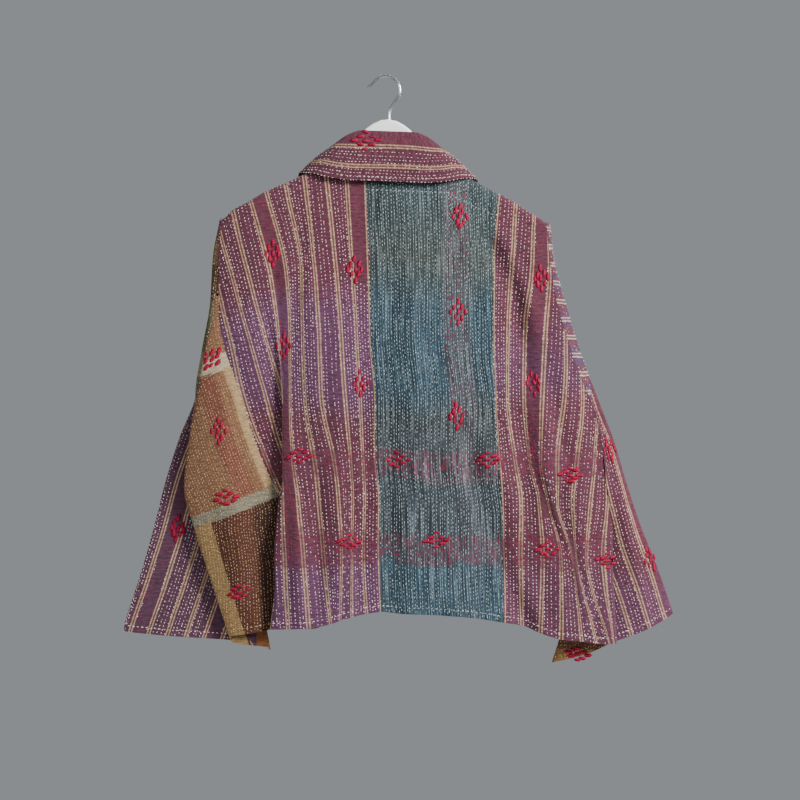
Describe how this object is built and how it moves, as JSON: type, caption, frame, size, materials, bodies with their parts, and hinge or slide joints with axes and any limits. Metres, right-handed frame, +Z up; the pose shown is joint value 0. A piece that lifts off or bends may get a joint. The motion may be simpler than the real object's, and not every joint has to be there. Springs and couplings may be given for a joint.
{
  "type": "kantha jacket on a hanger",
  "caption": "Open-fronted quilted cotton jacket with a turned-down collar and patchwork sleeves, hanging by a wire hook from a plain moulded hanger",
  "frame": {"origin": "the point where the inside of the wire hook bears on whatever holds it", "axes": "+X to the picture's right as the jacket is seen from its back, +Y out of the open front, +Z up"},
  "size_m": [0.8048, 0.0612, 0.8612],
  "materials": {
    "white_plastic": "smooth moulded plastic",
    "bright_wire": "polished plated wire",
    "plum_stripe": "matt woven cotton, quilted with running stitches",
    "indigo_slub": "matt woven cotton, quilted with running stitches",
    "collar_stripe": "matt woven cotton, quilted with running stitches",
    "sleeve_patch": "matt woven cotton, quilted with running stitches",
    "sleeve_stripe": "matt woven cotton, quilted with running stitches",
    "brown_patch": "matt woven cotton, quilted with running stitches"
  },
  "bodies": {
    "root": {"hanger_body": "white_plastic", "hanger_hook": "bright_wire", "back_left": "plum_stripe", "back_centre": "indigo_slub", "back_right": "plum_stripe", "front_left": "plum_stripe", "front_right": "plum_stripe", "collar": "collar_stripe", "sleeve_left_head": "sleeve_patch", "sleeve_left_striped": "sleeve_stripe", "sleeve_left_brown": "brown_patch", "sleeve_right_head": "sleeve_stripe", "sleeve_right_striped": "sleeve_stripe", "sleeve_right_brown": "brown_patch"}
  },
  "joints": []
}
